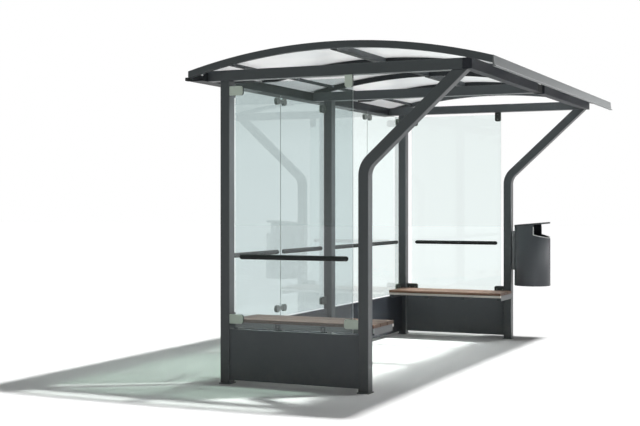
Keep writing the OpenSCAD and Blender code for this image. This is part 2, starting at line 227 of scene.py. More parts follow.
class Effects:
    """The node groups of every effect that more than one finish uses."""

    def __init__(self) -> None:
        """Builds each group once."""
        self.powder = self._powder_coat()
        self.dust = self._settled_dust()
        self.brushed = self._brushed_metal()
        self.timber = self._timber()
        self.film = self._glass_film()

    @staticmethod
    def _powder_coat() -> bpy.types.NodeTree:
        """Fine orange peel, soft blotches and small specks of powder-coated steel."""
        g = EffectGroup(
            "Powder coat",
            {
                "Colour": (Kind.COLOUR, DARK_PAINT),
                "Roughness": (Kind.VALUE, 0.35),
                "Blotches": (Kind.VALUE, 0.12),
                "Peel": (Kind.VALUE, 0.5),
            },
            {"Colour": Kind.COLOUR, "Roughness": Kind.VALUE, "Height": Kind.VALUE},
        )
        where = g.place()
        broad = g.noise(where, 2.3, 4.0, 0.6)
        fine = g.noise(where, 420.0, 2.0, 0.55)
        specks = g.fit(g.noise(where, 900.0, 1.0, 0.5), 0.66, 0.74)
        swing = g.maths("MULTIPLY", g.maths("SUBTRACT", broad, 0.5), g.given["Blotches"])
        value = g.maths("ADD", 1.0, g.maths("MULTIPLY", swing, 2.0))
        toned = g.add("HueSaturation", {"Color": g.given["Colour"], "Value": value}).outputs[0]
        speckled = g.blend(g.maths("MULTIPLY", specks, 0.06), toned, SPECKS)
        g.put(g.result["Colour"], speckled)
        g.put(g.result["Roughness"], g.maths("ADD", g.given["Roughness"], g.maths("MULTIPLY", swing, 0.6), True))
        g.put(g.result["Height"], g.maths("MULTIPLY", fine, g.given["Peel"]))
        return g.tree

    @staticmethod
    def _settled_dust() -> bpy.types.NodeTree:
        """Pale dust near the ground and on faces that look up."""
        g = EffectGroup(
            "Settled dust",
            {
                "Colour": (Kind.COLOUR, DARK_PAINT),
                "Roughness": (Kind.VALUE, 0.35),
                "Near ground": (Kind.VALUE, 0.15),
                "On top": (Kind.VALUE, 0.15),
            },
            {"Colour": Kind.COLOUR, "Roughness": Kind.VALUE},
        )
        where = g.place()
        height = g.add("SeparateXYZ", {0: where}).outputs["Z"]
        facing = g.add("SeparateXYZ", {0: g.add("NewGeometry").outputs["Normal"]}).outputs["Z"]
        splash = g.maths("MULTIPLY", g.fit(height, 0.0, 0.22, 1.0, 0.0), g.given["Near ground"])
        lying = g.maths("MULTIPLY", g.fit(facing, 0.6, 0.98), g.given["On top"])
        patchy = g.fit(g.noise(where, 14.0, 5.0, 0.65), 0.3, 0.75)
        share = g.maths("MULTIPLY", g.maths("MAXIMUM", splash, lying), patchy, True)
        g.put(g.result["Colour"], g.blend(share, g.given["Colour"], DUST))
        rough = g.maths("ADD", g.given["Roughness"], g.maths("MULTIPLY", share, 0.5), True)
        g.put(g.result["Roughness"], rough)
        return g.tree

    @staticmethod
    def _brushed_metal() -> bpy.types.NodeTree:
        """Fine lines of drawn or brushed metal, along the direction with the small stretch."""
        g = EffectGroup(
            "Brushed metal",
            {
                "Colour": (Kind.COLOUR, (0.5, 0.52, 0.53)),
                "Roughness": (Kind.VALUE, 0.35),
                "Stretch": (Kind.VECTOR, (1.0, 60.0, 60.0)),
            },
            {"Colour": Kind.COLOUR, "Roughness": Kind.VALUE, "Height": Kind.VALUE},
        )
        where = g.add("VectorMath", {0: g.place(), 1: g.given["Stretch"]}, operation="MULTIPLY").outputs[0]
        lines = g.noise(where, 12.0, 4.0, 0.7)
        value = g.fit(lines, 0.3, 0.7, 0.86, 1.1)
        g.put(g.result["Colour"], g.add("HueSaturation", {"Color": g.given["Colour"], "Value": value}).outputs[0])
        spread = g.maths("MULTIPLY", g.maths("SUBTRACT", lines, 0.5), 0.35)
        g.put(g.result["Roughness"], g.maths("ADD", g.given["Roughness"], spread, True))
        g.put(g.result["Height"], lines)
        return g.tree

    @staticmethod
    def _timber() -> bpy.types.NodeTree:
        """Rings, fibres and pores of planks that run along y, each plank a little different."""
        g = EffectGroup(
            "Timber",
            {
                "Light wood": (Kind.COLOUR, (0.3, 0.2, 0.13)),
                "Dark wood": (Kind.COLOUR, (0.12, 0.07, 0.045)),
                "Plank pitch": (Kind.VALUE, 0.13),
                "First plank": (Kind.VALUE, 0.0),
            },
            {"Colour": Kind.COLOUR, "Roughness": Kind.VALUE, "Height": Kind.VALUE},
        )
        where = g.place()
        across = g.maths("SUBTRACT", g.add("SeparateXYZ", {0: where}).outputs["X"], g.given["First plank"])
        number = g.maths("FLOOR", g.maths("DIVIDE", across, g.given["Plank pitch"]))
        odd = g.add("TexWhiteNoise", {"W": number}, noise_dimensions="1D").outputs["Value"]
        shift = g.add("CombineXYZ", {0: 0.0, 1: g.maths("MULTIPLY", odd, 7.0), 2: odd}).outputs[0]
        moved = g.add("VectorMath", {0: where, 1: shift}, operation="ADD").outputs[0]
        warp = g.noise(g.stretched(moved, (9.0, 1.1, 9.0)), 1.0, 3.0, 0.5)
        rings = g.add(
            "TexWave",
            {"Vector": g.stretched(moved, (30.0, 1.6, 30.0)), "Scale": 0.9, "Distortion": 5.0,
             "Detail": 3.0, "Detail Scale": 1.4, "Phase Offset": g.maths("MULTIPLY", warp, 9.0)},
            bands_direction="X",
        ).outputs[1]
        fibres = g.noise(g.stretched(moved, (420.0, 9.0, 420.0)), 1.0, 4.0, 0.7)
        pores = g.fit(g.noise(g.stretched(moved, (700.0, 26.0, 700.0)), 1.0, 2.0, 0.5), 0.62, 0.7)
        share = g.maths("ADD", g.maths("MULTIPLY", rings, 0.55), g.maths("MULTIPLY", fibres, 0.5), True)
        grain = g.blend(share, g.given["Light wood"], g.given["Dark wood"])
        value = g.fit(odd, 0.0, 1.0, 0.84, 1.16)
        toned = g.add("HueSaturation", {"Color": grain, "Value": value}).outputs[0]
        g.put(g.result["Colour"], g.blend(g.maths("MULTIPLY", pores, 0.6), toned, PORES))
        g.put(g.result["Roughness"], g.fit(share, 0.0, 1.0, 0.42, 0.6))
        depth = g.maths("SUBTRACT", g.maths("MULTIPLY", fibres, 0.5), g.maths("MULTIPLY", pores, 0.8))
        g.put(g.result["Height"], depth)
        return g.tree

    @staticmethod
    def _glass_film() -> bpy.types.NodeTree:
        """Faint film on glass or clear sheet: wiped arcs and dried drops, as a roughness; also painted reflection
        patches, and a painted shadow band where lamp light is cut towards the eaves.
        """
        g = EffectGroup(
            "Glass film",
            {
                "Clean": (Kind.VALUE, 0.0),
                "Film": (Kind.VALUE, 0.05),
                "Dirt from": (Kind.VALUE, 90.0),
                "Dirt to": (Kind.VALUE, 91.0),
                "Dirt": (Kind.VALUE, 1.0),
            },
            {"Roughness": Kind.VALUE, "Haze": Kind.VALUE, "Clear": Kind.VALUE},
        )
        where = g.place()
        # Painted shadow: towards the eaves this scales down only the lamp light let through the sheet, so the
        # floor gets a dark band while the sheet itself looks clean.
        eave = g.maths("ABSOLUTE", g.add("SeparateXYZ", {0: where}).outputs["Y"])
        g.put(g.result["Clear"], g.fit(eave, g.given["Dirt from"], g.given["Dirt to"], 1.0, g.given["Dirt"]))
        # Painted reflection: broad noise patches that stand in for reflected glare on the sheet.
        g.put(g.result["Haze"], g.fit(g.noise(g.stretched(where, (1.0, 1.0, 0.2)), 1.9, 2.0, 0.45), 0.44, 0.56))
        broad = g.fit(g.noise(where, 1.6, 4.0, 0.55), 0.45, 0.8)
        streaks = g.fit(g.noise(g.stretched(where, (18.0, 18.0, 2.0)), 1.0, 3.0, 0.5), 0.5, 0.8)
        mask = g.maths("MULTIPLY", broad, streaks, True)
        g.put(g.result["Roughness"], g.maths("ADD", g.given["Clean"], g.maths("MULTIPLY", mask, g.given["Film"])))
        return g.tree


class Finish:
    """A material in the making: its node sheet, its Principled shader and its output."""

    def __init__(self, name: str) -> None:
        """Makes an empty material.

        Args:
            name: the material's name.
        """
        self.material = bpy.data.materials.new(name)
        self.material.use_nodes = True
        self.sheet = NodeSheet(self.material.node_tree)
        self.material.node_tree.nodes.clear()
        self.shader = self.sheet.add("BsdfPrincipled")
        self.output = self.sheet.add("OutputMaterial", {"Surface": self.shader.outputs[0]})

    def constant(self, **values: float) -> None:
        """Sets plain values on the shader, with underscores for the spaces in socket names."""
        for name, value in values.items():
            self.shader.inputs[name.replace("_", " ").title().replace("Ior", "IOR")].default_value = value

    def group(self, tree: bpy.types.NodeTree, **inputs: object) -> dict[str, Socket]:
        """Places a node group.

        Args:
            tree: the group.
            inputs: input values or outputs, with underscores for spaces in the sockets' names.

        Returns:
            Output name to its socket.
        """
        node = self.sheet.add("Group", node_tree=tree)
        for name, value in inputs.items():
            self.sheet.put(node.inputs[name.replace("_", " ")], value)
        return {socket.name: socket for socket in node.outputs}

    def feed(self, name: str, value: object) -> None:
        """Links or sets one of the shader's inputs."""
        self.sheet.put(self.shader.inputs[name], value)

    def surface(self, values: dict[str, Socket]) -> None:
        """Links a node group's colour and roughness to the shader."""
        self.feed("Base Color", values["Colour"])
        self.feed("Roughness", values["Roughness"])

    def bump(self, height: Socket, strength: float, distance: float) -> None:
        """Turns a height into the shader's normal.

        Args:
            height: the height's output.
            strength: the bump's strength.
            distance: the height in metres that 1 stands for.
        """
        node = self.sheet.add("Bump", {"Height": height, "Strength": strength, "Distance": distance})
        self.feed("Normal", node.outputs[0])

    def let_lamps_through(self, tint: Colour | Socket) -> None:
        """Lets lamp light through the surface, tinted, so that what lies behind is lit."""
        path = self.sheet.add("LightPath")
        clear = self.sheet.add("BsdfTransparent", {"Color": tint})
        mix = self.sheet.add("MixShader", {0: path.outputs["Is Shadow Ray"]})
        self.sheet.put(mix.inputs[1], self.shader.outputs[0])
        self.sheet.put(mix.inputs[2], clear.outputs[0])
        self.sheet.put(self.output.inputs["Surface"], mix.outputs[0])


@dataclass(frozen=True)
class PaintFinish:
    """Powder coat on steel, with blotches, orange peel and dust."""

    name: str
    colour: Colour
    roughness: float = 0.36
    blotches: float = 0.12
    peel: float = 0.5
    near_ground: float = 0.12
    on_top: float = 0.12
    shine: float = 0.5

    def make(self, effects: Effects) -> bpy.types.Material:
        """Builds the material.

        Args:
            effects: the shared node groups.

        Returns:
            The material.
        """
        finish = Finish(self.name)
        powder = finish.group(
            effects.powder, Colour=self.colour, Roughness=self.roughness, Blotches=self.blotches, Peel=self.peel
        )
        dust = finish.group(
            effects.dust,
            Colour=powder["Colour"],
            Roughness=powder["Roughness"],
            Near_ground=self.near_ground,
            On_top=self.on_top,
        )
        finish.surface(dust)
        finish.bump(powder["Height"], 0.25, 0.0004)
        finish.constant(metallic=0.0, specular_ior_level=self.shine)
        return finish.material


@dataclass(frozen=True)
class MetalFinish:
    """Bare metal with fine drawn lines."""

    name: str
    colour: Colour
    roughness: float = 0.36
    along: Along = Along.Y
    dust: float = 0.1

    def make(self, effects: Effects) -> bpy.types.Material:
        """Builds the material.

        Args:
            effects: the shared node groups.

        Returns:
            The material.
        """
        finish = Finish(self.name)
        stretch = [60.0, 60.0, 60.0]
        stretch[self.along.value] = 1.0
        lines = finish.group(
            effects.brushed, Colour=self.colour, Roughness=self.roughness, Stretch=tuple(stretch)
        )
        dust = finish.group(
            effects.dust, Colour=lines["Colour"], Roughness=lines["Roughness"], Near_ground=0.0, On_top=self.dust
        )
        finish.surface(dust)
        finish.bump(lines["Height"], 0.12, 0.0003)
        finish.constant(metallic=1.0)
        return finish.material


@dataclass(frozen=True)
class GlassFinish:
    """Clear or tinted pane that lets lamp light through."""

    name: str
    tint: Colour
    lamp_tint: Colour
    clean: float = 0.0
    film: float = 0.05
    # Share of the painted reflection patches that whiten the tint.
    glare_patches: float = 0.0
    # Where, by |y|, lamp light through the pane is cut, and the share left at the eaves: a painted shadow band on
    # the floor.
    eave_shadow_from: float = 90.0
    eave_shadow_to: float = 91.0
    eave_shadow_pass: float = 1.0
    ior: float = 1.5

    def make(self, effects: Effects) -> bpy.types.Material:
        """Builds the material.

        Args:
            effects: the shared node groups.

        Returns:
            The material.
        """
        finish = Finish(self.name)
        film = finish.group(
            effects.film,
            Clean=self.clean,
            Film=self.film,
            Dirt_from=self.eave_shadow_from,
            Dirt_to=self.eave_shadow_to,
            Dirt=self.eave_shadow_pass,
        )
        # Painted reflection: broad noise patches whiten the sheet's tint, standing in for reflected glare.
        if self.glare_patches:
            share = finish.sheet.maths("MULTIPLY", film["Haze"], self.glare_patches)
            finish.feed("Base Color", finish.sheet.blend(share, self.tint, WHITE))
        else:
            finish.feed("Base Color", self.tint)
        finish.feed("Roughness", film["Roughness"])
        finish.constant(metallic=0.0, transmission_weight=1.0, ior=self.ior)
        # Lamp-only tint, cut towards the eaves: a painted shadow band on the floor.
        lamp = finish.sheet.add("VectorMath", {0: self.lamp_tint, 3: film["Clear"]}, operation="SCALE")
        finish.let_lamps_through(lamp.outputs[0])
        return finish.material


@dataclass(frozen=True)
class TimberFinish:
    """Oiled hardwood planks that run along y."""

    name: str
    light: Colour
    dark: Colour
    pitch: float
    first: float

    def make(self, effects: Effects) -> bpy.types.Material:
        """Builds the material.

        Args:
            effects: the shared node groups.

        Returns:
            The material.
        """
        finish = Finish(self.name)
        timber = finish.group(
            effects.timber,
            Light_wood=self.light,
            Dark_wood=self.dark,
            Plank_pitch=self.pitch,
            First_plank=self.first,
        )
        dust = finish.group(
            effects.dust, Colour=timber["Colour"], Roughness=timber["Roughness"], Near_ground=0.0, On_top=0.1
        )
        finish.surface(dust)
        finish.bump(timber["Height"], 0.35, 0.0006)
        finish.constant(metallic=0.0, specular_ior_level=0.2)
        return finish.material


@dataclass(frozen=True)
class PlasticFinish:
    """Moulded or rubbery black plastic with a fine grain."""

    name: str
    colour: Colour
    roughness: float = 0.5

    def make(self, effects: Effects) -> bpy.types.Material:
        """Builds the material.

        Args:
            effects: the shared node groups.

        Returns:
            The material.
        """
        finish = Finish(self.name)
        grain = finish.group(effects.powder, Colour=self.colour, Roughness=self.roughness, Blotches=0.1, Peel=1.0)
        finish.surface(grain)
        finish.bump(grain["Height"], 0.3, 0.0004)
        finish.constant(metallic=0.0)
        return finish.material


class Paints:
    """Every material of the shelter, made once from its finish."""

    def __init__(self, effects: Effects, planks: "Benches") -> None:
        """Makes the materials.

        Args:
            effects: the shared node groups.
            planks: the benches, for the places of their slats.
        """
        self.frame = PaintFinish("Anthracite coat", DARK_COAT).make(effects)
        self.roof_frame = PaintFinish("Anthracite roof coat", DARK_COAT, near_ground=0.0).make(effects)
        # Painted shade: a darker, duller copy of the anthracite for the front beam, which lies in shade under the
        # roof's overhang.
        self.front_beam = PaintFinish(
            "Anthracite front beam coat darkened for shade", (0.018, 0.02, 0.025),
            roughness=0.5, blotches=0.05, near_ground=0.0, shine=0.18,
        ).make(effects)
        # Painted shade: a darker, duller copy of the anthracite for the ribs, purlins and gutter under the roof.
        self.rib = PaintFinish(
            "Anthracite rib coat darkened for shade", (0.011, 0.013, 0.015),
            roughness=0.5, near_ground=0.0, on_top=0.02, shine=0.2,
        ).make(effects)
        self.sheet = PaintFinish(
            "Anthracite sheet coat", (0.085, 0.093, 0.1),
            roughness=0.45, blotches=0.16, near_ground=0.1, shine=0.25,
        ).make(effects)
        self.rear_sheet = PaintFinish(
            "Anthracite rear sheet coat", (0.024, 0.027, 0.033),
            roughness=0.5, blotches=0.16, near_ground=0.1, shine=0.15,
        ).make(effects)
        # Painted reflection: the fascia is anthracite like the frame; this lighter grey stands in for the bright
        # sky it mirrors at a grazing angle.
        self.fascia = PaintFinish(
            "Anthracite fascia coat lightened for reflection", (0.12, 0.126, 0.128), roughness=0.4, blotches=0.08, near_ground=0.0
        ).make(effects)
        self.rail = PaintFinish(
            "Black satin coat", (0.01, 0.012, 0.012),
            roughness=0.5, blotches=0.1, peel=0.3, near_ground=0.0, on_top=0.03, shine=0.3,
        ).make(effects)
        self.clamp = PaintFinish(
            "Dark cast coat", (0.03, 0.035, 0.032),
            roughness=0.5, blotches=0.14, peel=0.9, near_ground=0.0, on_top=0.04, shine=0.3,
        ).make(effects)
        self.clamp_pale = PaintFinish(
            "Pale cast coat", (0.44, 0.51, 0.44),
            roughness=0.4, blotches=0.12, peel=0.8, near_ground=0.0, on_top=0.08,
        ).make(effects)
        self.bin = PaintFinish(
            "Anthracite bin coat", (0.045, 0.05, 0.058), roughness=0.4, blotches=0.1, near_ground=0.0
        ).make(effects)
        self.bin_trim = PaintFinish(
            "Anthracite trim coat", (0.03, 0.034, 0.037), roughness=0.5, blotches=0.1, near_ground=0.0
        ).make(effects)
        # Painted light: a much lighter copy of the frame paint, so the bin bracket looks lit where the lamp leaves
        # it in shade.
        self.bracket = PaintFinish(
            "Anthracite bracket coat lightened as lit", (0.2, 0.21, 0.215), roughness=0.45, blotches=0.1, near_ground=0.0
        ).make(effects)
        # Painted highlight: a pale paint for the tube that stands in for the bright rim of the bin's opening.
        self.rim_highlight_paint = PaintFinish(
            "Painted rim highlight", (0.55, 0.57, 0.56), roughness=0.35, blotches=0.05, near_ground=0.0
        ).make(effects)
        self.fitting = MetalFinish("Satin stainless", (0.19, 0.205, 0.195), 0.4, Along.X).make(effects)
        self.seat_metal = MetalFinish("Galvanised steel", (0.22, 0.235, 0.235), 0.5, Along.Y).make(effects)
        # Painted light: a much lighter copy of the galvanised steel for the rail faces towards the middle, which
        # look lit.
        self.seat_metal_lit = MetalFinish("Galvanised steel lightened as lit", (0.62, 0.57, 0.53), 0.35, Along.Y).make(effects)
        self.plastic = PlasticFinish("Black moulded plastic", (0.008, 0.009, 0.009), 0.75).make(effects)
        self.wall_glass = GlassFinish("Wall glass", (0.86, 0.93, 0.92), LAMP_TINT).make(effects)
        self.near_glass = GlassFinish("Near wall glass", (0.655, 0.71, 0.72), LAMP_TINT).make(effects)
        self.glass_edge = GlassFinish("Glass edge", (0.84, 0.92, 0.9), EDGE_LAMP_TINT, clean=0.5).make(effects)
        self.seal = GlassFinish(
            "Clear seal", (0.93, 0.97, 0.96), EDGE_LAMP_TINT, clean=0.1, ior=1.12
        ).make(effects)
        # Roof sheet: lamp light cut towards the eaves for a painted shadow band on the floor, and whitened patches
        # as a painted reflection.
        self.roof_glass = GlassFinish(
            "Roof sheet", (0.92, 0.935, 0.945), (0.93, 0.96, 0.94),
            clean=0.3, film=0.1, glare_patches=1.0, eave_shadow_from=0.8, eave_shadow_to=0.93, eave_shadow_pass=0.14, ior=1.18,
        ).make(effects)
        timber = TimberFinish(
            "Oiled hardwood", (0.155, 0.09, 0.062), (0.07, 0.038, 0.025), planks.pitch, planks.first
        )
        self.timber = timber.make(effects)


class Workshop:
    """Turns CAD nodes and mesh builders into finished pieces."""

    def __init__(self, nodes: dict[str, bpy.types.Object]) -> None:
        """Takes the CAD nodes.

        Args:
            nodes: node name to its object.
        """
        self.nodes = nodes

    @staticmethod
    def _round_edges(part: bpy.types.Object, radius: float, segments: int) -> None:
        """Rounds the sharp edges of a part, and leaves its curved faces alone."""
        bevel = part.modifiers.new("Rounded edges", "BEVEL")
        bevel.width = radius
        bevel.segments = segments
        bevel.limit_method = "ANGLE"
        bevel.angle_limit = SHARP
        bevel.harden_normals = True

    def dress(self, node: str, material: bpy.types.Material, radius: float = 0.0, segments: int = 2) -> None:
        """Gives a CAD node its material and, where radius isn't 0, soft edges.

        Args:
            node: the node's name.
            material: the material.
            radius: the edges' radius in metres.
            segments: flats along each rounded edge.
        """
        part = self.nodes[node]
        part.data.materials.clear()
        part.data.materials.append(material)
        if radius > 0.0:
            weld = part.modifiers.new("Closed corners", "WELD")
            weld.merge_threshold = TINY
            flat = part.modifiers.new("Whole faces", "DECIMATE")
            flat.decimate_type = "DISSOLVE"
            flat.angle_limit = FLAT
            self._round_edges(part, radius, segments)
        LOG.info("dressed %s in %s", node, material.name)

    def dress_parts(
        self, node: str, first: bpy.types.Material, second: bpy.types.Material, in_first: Callable[..., bool]
    ) -> None:
        """Gives a node two materials, sorted by face.

        Args:
            node: the CAD node.
            first: the material of the faces that in_first picks.
            second: the other faces' material.
            in_first: takes a face of the mesh and says whether it has the first material.
        """
        mesh = self.nodes[node].data
        mesh.materials.clear()
        mesh.materials.append(first)
        mesh.materials.append(second)
        for polygon in mesh.polygons:
            polygon.material_index = 0 if in_first(polygon) else 1
        LOG.info("dressed %s in %s and %s", node, first.name, second.name)

    def piece(
        self, name: str, build: Callable[[bmesh.types.BMesh], None], materials: Iterable[bpy.types.Material],
        slot: str, radius: float = 0.0, segments: int = 2,
    ) -> bpy.types.Object:
        """Makes a piece from a mesh builder and lets it ride on the shelter.

        Args:
            name: the piece's name.
            build: draws the piece into the mesh that it is given, in metres, in place.
            materials: the materials, in the order of the faces' indices.
            slot: the record's material slot; not used.
            radius: radius of the edges that are rounded afterwards.
            segments: flats along each rounded edge.

        Returns:
            The piece.
        """
        mesh = bpy.data.meshes.new(name)
        bm = bmesh.new()
        build(bm)
        bmesh.ops.recalc_face_normals(bm, faces=bm.faces)
        bm.to_mesh(mesh)
        bm.free()
        for material in materials:
            mesh.materials.append(material)
        made = bpy.data.objects.new(name, mesh)
        bpy.context.scene.collection.objects.link(made)
        mesh.shade_smooth()
        self._round_edges(made, max(radius, TINY), segments)
        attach(made, ROOT)
        LOG.info("made %s with %d faces", name, len(mesh.polygons))
        return made


class Draw:
    """Shapes that go into a mesh under construction, in metres."""

    @staticmethod
    def rounded(width: float, height: float, radii: Sequence[float], steps: int = 6) -> list[Vector]:
        """Gives the outline of a plate with round corners, centred on the origin.

        Args:
            width: size along the first axis.
            height: size along the second axis.
            radii: corner radii, anticlockwise from the corner where both axes are positive.
            steps: flats in each corner.

        Returns:
            The outline's points, anticlockwise.
        """
        outline = []
        for corner, radius in enumerate(radii):
            right = 1 if corner in (0, 3) else -1
            upper = 1 if corner in (0, 1) else -1
            middle = Vector((right * (width / 2 - radius), upper * (height / 2 - radius)))
            for step in range(steps + 1):
                angle = math.radians(90.0) * (corner + step / steps)
                outline.append(middle + radius * Vector((math.cos(angle), math.sin(angle))))
        return outline

    @staticmethod
    def skin(bm: bmesh.types.BMesh, rings: Sequence[Sequence[bmesh.types.BMVert]]) -> None:
        """Closes a row of rings with a face at each end and four-sided faces between.

        Args:
            bm: the mesh.
            rings: the rings in order, each with as many points.
        """
        bm.faces.new(list(reversed(rings[0])))
        bm.faces.new(rings[-1])
        for lower, upper in zip(rings, rings[1:]):
            for side in range(len(lower)):
                after = (side + 1) % len(lower)
                bm.faces.new((lower[side], lower[after], upper[after], upper[side]))

    @staticmethod
    def slab(bm: bmesh.types.BMesh, outline: Sequence[Vector], place: Matrix, low: float, high: float) -> None:
        """Extrudes an outline.

        Args:
            bm: the mesh.
            outline: the points, anticlockwise.
            place: from the outline's own axes to the shelter's.
            low: where the slab starts along the third axis.
            high: where it ends.
        """
        rings = [[bm.verts.new(place @ Vector((*point, height))) for point in outline] for height in (low, high)]
        Draw.skin(bm, rings)

    @staticmethod
    def lathe(
        bm: bmesh.types.BMesh, profile: Sequence[tuple[float, float]], place: Matrix, sides: int = 20
    ) -> None:
        """Turns a profile round the third axis; its first and last points lie on the axis.

        Args:
            bm: the mesh.
            profile: radius and height of each point.
            place: from the lathe's axes to the shelter's.
            sides: flats round the axis.
        """
        first = bm.verts.new(place @ Vector((0.0, 0.0, profile[0][1])))
        last = bm.verts.new(place @ Vector((0.0, 0.0, profile[-1][1])))
        rings = []
        for radius, height in profile[1:-1]:
            turns = [math.tau * side / sides for side in range(sides)]
            rings.append(
                [bm.verts.new(place @ Vector((radius * math.cos(t), radius * math.sin(t), height))) for t in turns]
            )
        for side in range(sides):
            after = (side + 1) % sides
            bm.faces.new((first, rings[0][after], rings[0][side]))
            bm.faces.new((last, rings[-1][side], rings[-1][after]))
            for lower, upper in zip(rings, rings[1:]):
                bm.faces.new((lower[side], lower[after], upper[after], upper[side]))

    @classmethod
    def screw(cls, bm: bmesh.types.BMesh, place: Matrix, radius: float, height: float) -> None:
        """Draws a button-head screw with its socket; the head rises along the third axis."""
        profile = [
            (0.0, 0.0), (radius, 0.0), (radius, 0.35 * height), (0.86 * radius, 0.75 * height),
            (0.6 * radius, height), (0.4 * radius, height), (0.36 * radius, 0.3 * height), (0.0, 0.3 * height),
        ]
        cls.lathe(bm, profile, place)

    @staticmethod
    def tube(bm: bmesh.types.BMesh, points: Sequence[Vector], radius: float, sides: int = 10) -> None:
        """Sweeps a round section along points, with flat ends.

        Args:
            bm: the mesh.
            points: the middle line.
            radius: the section's radius.
            sides: flats round the section.
        """
        rings = []
        side_way = Vector((0.0, 0.0, 1.0))
        for index, point in enumerate(points):
            onward = (points[min(index + 1, len(points) - 1)] - points[max(index - 1, 0)]).normalized()
            side_way = side_way - onward * side_way.dot(onward)
            if side_way.length < 1e-3:
                side_way = onward.orthogonal()
            side_way.normalize()
            other = onward.cross(side_way)
            turns = [math.tau * side / sides for side in range(sides)]
            rings.append(
                [bm.verts.new(point + radius * (math.cos(t) * side_way + math.sin(t) * other)) for t in turns]
            )
        Draw.skin(bm, rings)


def solid_boxes(node: str) -> list[tuple[Vector, Vector]]:
    """Gives the box of each separate solid of a CAD node.

    Args:
        node: the node's name.

    Returns:
        The lowest and highest corner of each solid, in order of place.
    """
    bm = bmesh.new()
    bm.from_mesh(frame["nodes"][node].data)
    bmesh.ops.remove_doubles(bm, verts=bm.verts, dist=TINY)
    waiting = set(bm.verts)
    boxes = []
    while waiting:
        edge_of_search = [waiting.pop()]
        found = []
        while edge_of_search:
            vertex = edge_of_search.pop()
            found.append(vertex.co.copy())
            for edge in vertex.link_edges:
                other = edge.other_vert(vertex)
                if other in waiting:
                    waiting.remove(other)
                    edge_of_search.append(other)
        boxes.append((Vector(map(min, *found)), Vector(map(max, *found))))
    bm.free()
    return sorted(boxes, key=lambda box: tuple(round(value, 4) for value in box[0]))


@dataclass
class Benches:
    """Two slatted seats along the end walls."""

    shop: Workshop
    slat_count: int = 3
    slat_gap: float = 0.008
    edge: float = 0.003
    strap_width: float = 0.042
    strap_thickness: float = 0.005
    strap_corners: tuple[float, float, float, float] = (0.002, 0.002, 0.006, 0.006)
    strap_edge: float = 0.001
    bracket_edge: float = 0.0025
    screw_radius: float = 0.006
    screw_height: float = 0.003

    @property
    def pitch(self) -> float:
        """Distance from one slat to the next."""
        low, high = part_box("bench_slats_far")
        return (high.x - low.x + self.slat_gap) / self.slat_count

    @property
    def first(self) -> float:
        """Where the far bench's slats begin, less half a gap."""
        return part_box("bench_slats_far")[0].x - self.slat_gap / 2

    def build(self, paints: Paints) -> None:
        """Dresses the seats.

        Args:
            paints: the materials.
        """
        for node in ("bench_slats_near", "bench_slats_far"):
            self.shop.dress(node, paints.timber, self.edge, 3)
        outer_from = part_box("bench_brackets")[1].x - 0.001
        # Outer rail faces keep the galvanised steel; the rest get its lighter copy, which is painted light.
        self.shop.dress_parts(
            "bench_rails", paints.seat_metal, paints.seat_metal_lit, lambda face: abs(face.center.x) > outer_from
        )
        self.shop.dress("bench_brackets", paints.frame, self.bracket_edge)
        self.shop.piece("bench_straps", self._straps, [paints.frame], "frame_paint", self.strap_edge)
        self.shop.piece("bench_strap_screws", self._strap_screws, [paints.fitting], "fitting_metal")

    def _strap_places(self) -> Iterable[tuple[float, float]]:
        """Gives the side of the shelter and the place along y of each strap."""
        panel_low, panel_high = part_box("end_panel_near")
        for low, high in solid_boxes("bench_brackets"):
            if low.y > panel_low.y and high.y < panel_high.y - self.strap_width:
                yield (1.0 if low.x > 0 else -1.0), (low.y + high.y) / 2

    def _straps(self, bm: bmesh.types.BMesh) -> None:
        """Draws the flat straps that tie the outer rail to its brackets."""
        rail_low, rail_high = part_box("bench_rails")
        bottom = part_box("bench_brackets")[0].z
        outline = Draw.rounded(self.strap_width, rail_high.z - bottom, self.strap_corners)
        for side, y in self._strap_places():
            axes = Matrix.Identity(4)
            axes.col[0] = (0.0, side, 0.0, 0.0)
            axes.col[1] = (0.0, 0.0, 1.0, 0.0)
            axes.col[2] = (side, 0.0, 0.0, 0.0)
            axes.translation = Vector((side * rail_high.x, y, (rail_high.z + bottom) / 2))
            Draw.slab(bm, outline, axes, 0.0, self.strap_thickness)

    def _strap_screws(self, bm: bmesh.types.BMesh) -> None:
        """Draws one screw in the middle of each strap."""
        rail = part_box("bench_rails")
        for side, y in self._strap_places():
            spot = Vector((side * (rail[1].x + self.strap_thickness), y, (rail[0].z + rail[1].z) / 2))
            turn = Matrix.Rotation(math.radians(90.0 * side), 4, "Y")
            Draw.screw(bm, Matrix.Translation(spot) @ turn, self.screw_radius, self.screw_height)


@dataclass
class SteelFrame:
    """Posts with arms, beams and foot plates."""

    shop: Workshop
    tube_radius: float = 0.005
    beam_radius: float = 0.0025

    def build(self, paints: Paints) -> None:
        """Dresses the frame.

        Args:
            paints: the materials.
        """
        tubes = [f"rear_post_{place}" for place in ("near", "middle", "far")]
        tubes += ["front_post_near", "front_post_far"]
        for node in tubes:
            self.shop.dress(node, paints.frame, self.tube_radius, 3)
        for node in ("cross_beam_near", "cross_beam_middle", "cross_beam_far"):
            self.shop.dress(node, paints.roof_frame, self.beam_radius)
        # The front beam wears the darker copy of the anthracite: painted shade.
        self.shop.dress("front_beam", paints.front_beam, self.beam_radius)
        self.shop.dress("foot_plates", paints.frame, 0.0015)
        self.shop.dress("front_beam_splice", paints.plastic, 0.002)


